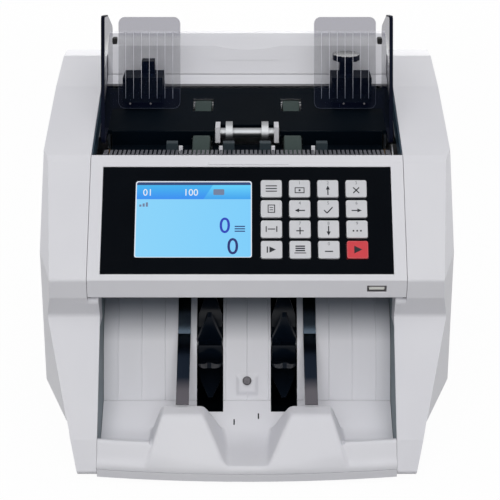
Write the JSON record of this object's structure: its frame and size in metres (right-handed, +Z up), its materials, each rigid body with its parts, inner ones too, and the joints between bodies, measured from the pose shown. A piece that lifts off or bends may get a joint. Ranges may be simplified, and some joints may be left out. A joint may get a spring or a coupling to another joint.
{
  "type": "banknote counting machine",
  "caption": "Desktop banknote counter with a guided hopper, sloping key and display panel, feed rollers, vaned stacker wheels and a front stacker tray.",
  "frame": {"origin": "on the table under the middle of the machine's overall box", "axes": "+X to the user's right, +Y to the back, +Z up"},
  "size_m": [0.295, 0.286, 0.2914],
  "materials": {
    "casing": "fine satin texture",
    "black_plastic": "semi-gloss",
    "smoky_clear": "smoky clear",
    "screen": "lit display",
    "board": "solder mask",
    "bright_steel": "polished",
    "plain_steel": "turned",
    "frame_paint": "grey powder coat",
    "bush_brass": "plain",
    "wheel_rubber": "ground rubber",
    "grey_rubber": "moulded",
    "black_rubber": "moulded",
    "white_nylon": "moulded",
    "key_grey": "satin",
    "key_red": "satin"
  },
  "bodies": {
    "chassis": {"base_pan": "casing", "circuit_boards": "board", "display_bezel": "black_plastic", "display_screen": "screen", "drive_belts": "black_rubber", "drive_motor": "plain_steel", "friction_blocks": "grey_rubber", "front_comb": "black_plastic", "front_cover": "casing", "guide_rails": "plain_steel", "hopper_floor": "black_plastic", "left_frame_plate": "frame_paint", "left_side_cover": "casing", "power_inlet": "black_plastic", "power_supply": "plain_steel", "rear_deck": "casing", "rear_panel": "casing", "right_frame_plate": "frame_paint", "right_side_cover": "casing", "rubber_feet": "black_rubber", "screws": "plain_steel", "separator_bracket": "casing", "shaft_bushes": "bush_brass", "stacker_chute": "casing", "stacker_tray": "casing", "steel_ramps": "bright_steel", "tie_bars": "plain_steel", "usb_socket": "bright_steel"},
    "left_guide_slide": {"left_guide": "smoky_clear", "left_carriage": "black_plastic"},
    "right_guide_slide": {"right_guide": "smoky_clear", "right_carriage": "black_plastic"},
    "pinion": {"guide_pinion": "white_nylon"},
    "knob": {"guide_knob": "black_plastic"},
    "stacker": {"stacker_shaft": "plain_steel", "stacker_wheels": "black_plastic"},
    "feed": {"feed_shaft": "plain_steel", "feed_wheels": "wheel_rubber"},
    "pickup": {"pickup_shaft": "plain_steel", "pickup_wheels": "wheel_rubber"},
    "motor_rotor": {"motor_pulley": "plain_steel"},
    "roller": {"separating_roller": "bright_steel"},
    "back_lid": {"rear_cover": "casing"},
    "rocker": {"power_rocker": "black_plastic"},
    "press_row1_column1": {"key_row1_column1": "key_grey"},
    "press_row1_column2": {"key_row1_column2": "key_grey"},
    "press_row1_column3": {"key_row1_column3": "key_grey"},
    "press_row1_column4": {"key_row1_column4": "key_grey"},
    "press_row2_column1": {"key_row2_column1": "key_grey"},
    "press_row2_column2": {"key_row2_column2": "key_grey"},
    "press_row2_column3": {"key_row2_column3": "key_grey"},
    "press_row2_column4": {"key_row2_column4": "key_grey"},
    "press_row3_column1": {"key_row3_column1": "key_grey"},
    "press_row3_column2": {"key_row3_column2": "key_grey"},
    "press_row3_column3": {"key_row3_column3": "key_grey"},
    "press_row3_column4": {"key_row3_column4": "key_grey"},
    "press_row4_column1": {"key_row4_column1": "key_grey"},
    "press_row4_column2": {"key_row4_column2": "key_grey"},
    "press_row4_column3": {"key_row4_column3": "key_grey"},
    "press_row4_column4": {"key_row4_column4": "key_red"}
  },
  "joints": [
    {"name": "guide_left", "type": "slide", "parent": "chassis", "child": "left_guide_slide", "axis": [1, 0, 0], "range_m": [0, 0.045]},
    {"name": "guide_right", "type": "slide", "parent": "chassis", "child": "right_guide_slide", "axis": [-1, 0, 0], "range_m": [0, 0.045]},
    {"name": "pinion_turn", "type": "hinge", "parent": "chassis", "child": "pinion", "pos_m": [0, 0.102, 0.1956], "axis": [0, 0, 1], "range_deg": [0, 510]},
    {"name": "knob_turn", "type": "hinge", "parent": "right_guide_slide", "child": "knob", "pos_m": [0.078, 0.088, 0.247], "axis": [0, 0, 1], "range_deg": [0, 180]},
    {"name": "stacker_turn", "type": "hinge", "parent": "chassis", "child": "stacker", "pos_m": [0, -0.045, 0.062], "axis": [1, 0, 0], "continuous": true},
    {"name": "feed_turn", "type": "hinge", "parent": "chassis", "child": "feed", "pos_m": [0, 0.022, 0.182], "axis": [1, 0, 0], "continuous": true},
    {"name": "pickup_turn", "type": "hinge", "parent": "chassis", "child": "pickup", "pos_m": [0, 0.0745, 0.199], "axis": [1, 0, 0], "continuous": true},
    {"name": "motor_turn", "type": "hinge", "parent": "chassis", "child": "motor_rotor", "pos_m": [0.11, 0.04, 0.11], "axis": [1, 0, 0], "continuous": true},
    {"name": "roller_turn", "type": "hinge", "parent": "chassis", "child": "roller", "pos_m": [0, 0.036, 0.201], "axis": [1, 0, 0], "continuous": true},
    {"name": "back_lid_open", "type": "hinge", "parent": "chassis", "child": "back_lid", "pos_m": [0, 0.1405, 0.131], "axis": [-1, 0, 0], "range_deg": [0, 75]},
    {"name": "rocker_tip", "type": "hinge", "parent": "chassis", "child": "rocker", "pos_m": [-0.046, 0.14117, 0.04], "axis": [-1, 0, 0], "range_deg": [0, 16]},
    {"name": "press_row1_column1_travel", "type": "slide", "parent": "chassis", "child": "press_row1_column1", "axis": [0, 0.7771, -0.6293], "range_m": [0, 0.001], "stiffness_N_per_m": 500},
    {"name": "press_row1_column2_travel", "type": "slide", "parent": "chassis", "child": "press_row1_column2", "axis": [0, 0.7771, -0.6293], "range_m": [0, 0.001], "stiffness_N_per_m": 500},
    {"name": "press_row1_column3_travel", "type": "slide", "parent": "chassis", "child": "press_row1_column3", "axis": [0, 0.7771, -0.6293], "range_m": [0, 0.001], "stiffness_N_per_m": 500},
    {"name": "press_row1_column4_travel", "type": "slide", "parent": "chassis", "child": "press_row1_column4", "axis": [0, 0.7771, -0.6293], "range_m": [0, 0.001], "stiffness_N_per_m": 500},
    {"name": "press_row2_column1_travel", "type": "slide", "parent": "chassis", "child": "press_row2_column1", "axis": [0, 0.7771, -0.6293], "range_m": [0, 0.001], "stiffness_N_per_m": 500},
    {"name": "press_row2_column2_travel", "type": "slide", "parent": "chassis", "child": "press_row2_column2", "axis": [0, 0.7771, -0.6293], "range_m": [0, 0.001], "stiffness_N_per_m": 500},
    {"name": "press_row2_column3_travel", "type": "slide", "parent": "chassis", "child": "press_row2_column3", "axis": [0, 0.7771, -0.6293], "range_m": [0, 0.001], "stiffness_N_per_m": 500},
    {"name": "press_row2_column4_travel", "type": "slide", "parent": "chassis", "child": "press_row2_column4", "axis": [0, 0.7771, -0.6293], "range_m": [0, 0.001], "stiffness_N_per_m": 500},
    {"name": "press_row3_column1_travel", "type": "slide", "parent": "chassis", "child": "press_row3_column1", "axis": [0, 0.7771, -0.6293], "range_m": [0, 0.001], "stiffness_N_per_m": 500},
    {"name": "press_row3_column2_travel", "type": "slide", "parent": "chassis", "child": "press_row3_column2", "axis": [0, 0.7771, -0.6293], "range_m": [0, 0.001], "stiffness_N_per_m": 500},
    {"name": "press_row3_column3_travel", "type": "slide", "parent": "chassis", "child": "press_row3_column3", "axis": [0, 0.7771, -0.6293], "range_m": [0, 0.001], "stiffness_N_per_m": 500},
    {"name": "press_row3_column4_travel", "type": "slide", "parent": "chassis", "child": "press_row3_column4", "axis": [0, 0.7771, -0.6293], "range_m": [0, 0.001], "stiffness_N_per_m": 500},
    {"name": "press_row4_column1_travel", "type": "slide", "parent": "chassis", "child": "press_row4_column1", "axis": [0, 0.7771, -0.6293], "range_m": [0, 0.001], "stiffness_N_per_m": 500},
    {"name": "press_row4_column2_travel", "type": "slide", "parent": "chassis", "child": "press_row4_column2", "axis": [0, 0.7771, -0.6293], "range_m": [0, 0.001], "stiffness_N_per_m": 500},
    {"name": "press_row4_column3_travel", "type": "slide", "parent": "chassis", "child": "press_row4_column3", "axis": [0, 0.7771, -0.6293], "range_m": [0, 0.001], "stiffness_N_per_m": 500},
    {"name": "press_row4_column4_travel", "type": "slide", "parent": "chassis", "child": "press_row4_column4", "axis": [0, 0.7771, -0.6293], "range_m": [0, 0.001], "stiffness_N_per_m": 500}
  ],
  "couplings": [
    {"joint": "guide_right", "follows": "guide_left", "ratio": 1},
    {"joint": "pinion_turn", "follows": "guide_left", "rad_per_m": 196.35},
    {"joint": "feed_turn", "follows": "stacker_turn", "ratio": 1.3333},
    {"joint": "pickup_turn", "follows": "stacker_turn", "ratio": 1.7778},
    {"joint": "motor_turn", "follows": "stacker_turn", "ratio": 2}
  ]
}
